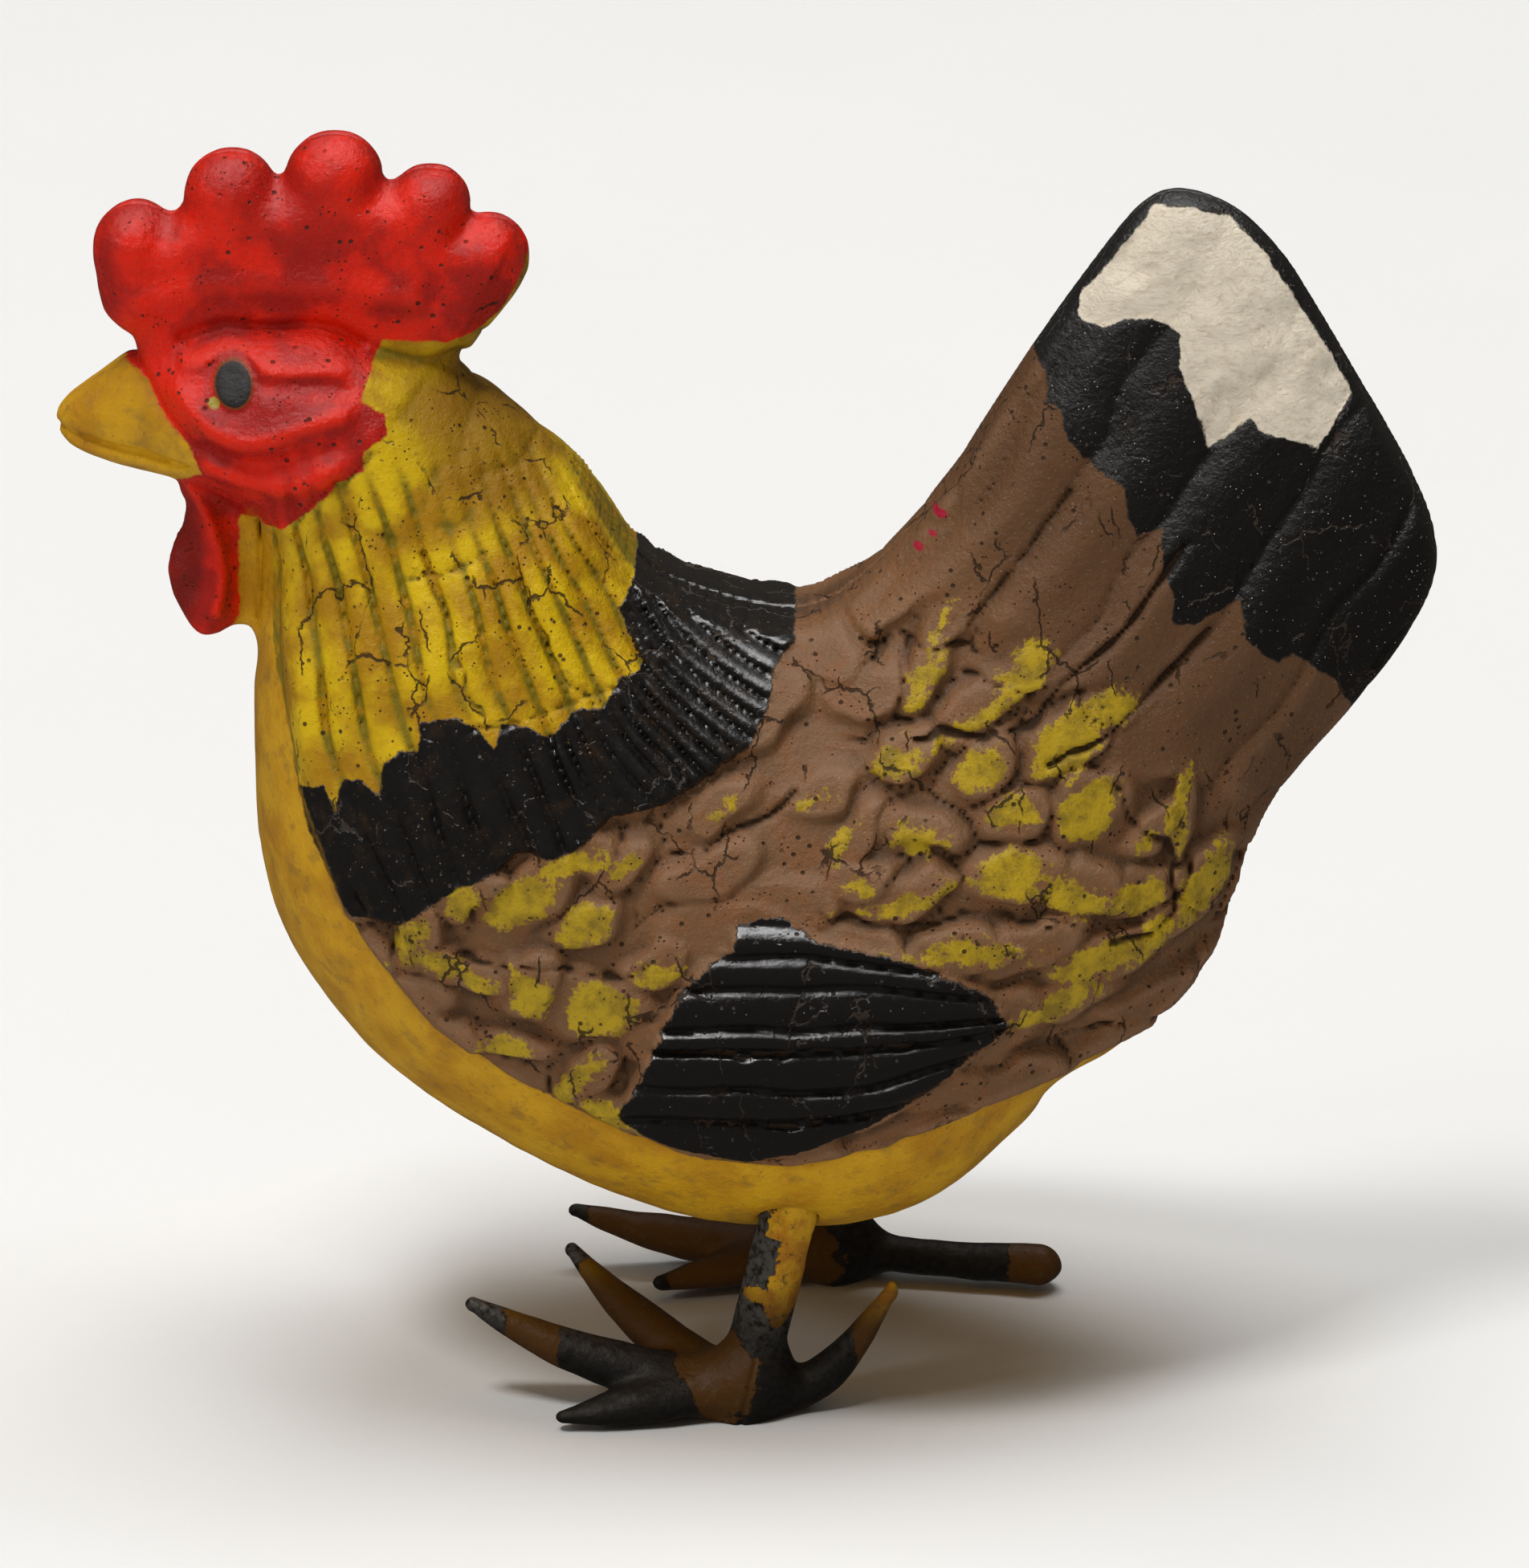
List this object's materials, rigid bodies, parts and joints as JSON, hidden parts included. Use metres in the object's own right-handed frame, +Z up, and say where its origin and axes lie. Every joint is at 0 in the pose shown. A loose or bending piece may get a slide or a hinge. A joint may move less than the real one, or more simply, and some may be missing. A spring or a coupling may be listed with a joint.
{
  "type": "toy rooster figure",
  "caption": "Standing toy rooster, pressed in two composition halves over a spine wire, on two cast metal feet.",
  "frame": {"origin": "bottom centre of the bounding box: on the floor, midway along the length, on the parting plane", "axes": "-X the way the beak points, +Y to the bird's right, +Z up"},
  "size_m": [0.0585, 0.0228, 0.0549],
  "materials": {
    "painted_composition": "worn oil paint on pressed sawdust composition",
    "steel_wire": "drawn wire",
    "painted_pewter": "flaking ochre paint on dark lead-tin alloy"
  },
  "bodies": {
    "root": {"left_body_half": "painted_composition", "right_body_half": "painted_composition", "spine_wire": "steel_wire", "left_leg_wire": "steel_wire", "right_leg_wire": "steel_wire", "left_foot": "painted_pewter", "right_foot": "painted_pewter"}
  },
  "joints": []
}
